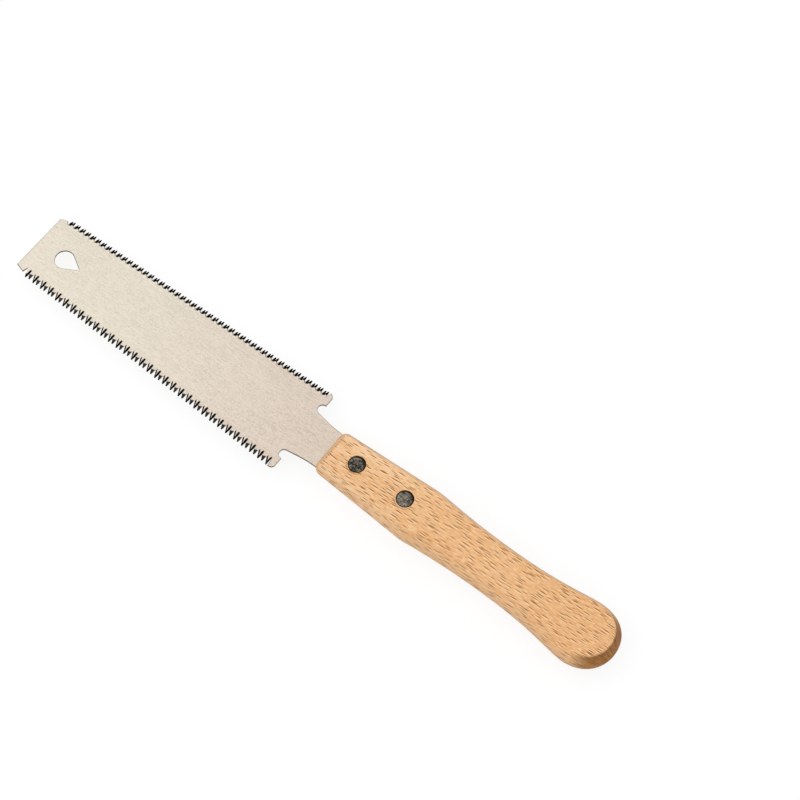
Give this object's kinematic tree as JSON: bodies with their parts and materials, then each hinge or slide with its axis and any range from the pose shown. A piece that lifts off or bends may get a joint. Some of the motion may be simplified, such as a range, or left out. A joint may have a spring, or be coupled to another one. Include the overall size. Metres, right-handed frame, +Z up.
{
  "type": "double-edged pull saw",
  "caption": "Small double-edged pull saw: a flat steel blade with fine teeth on one edge and coarse teeth on the other, riveted in the slot of a waisted beech handle.",
  "frame": {"origin": "middle of the saw's length and width, on the plane of the handle's underside, where the saw rests", "axes": "+X along the saw from the toe to the butt, +Y across the blade towards the fine edge, +Z up, square to the blade's flat"},
  "size_m": [0.3238, 0.0442, 0.016],
  "materials": {
    "blade_steel": "satin, warm nickel tone, teeth blackened by hardening",
    "beech": "sanded and lightly oiled, fine brown flecks along the grain",
    "rivet_steel": "blackened, worn in the middle of the heads"
  },
  "bodies": {
    "root": {"blade": "blade_steel", "handle": "beech", "front_rivet_post": "rivet_steel", "front_rivet_socket": "rivet_steel", "rear_rivet_post": "rivet_steel", "rear_rivet_socket": "rivet_steel"}
  },
  "joints": []
}
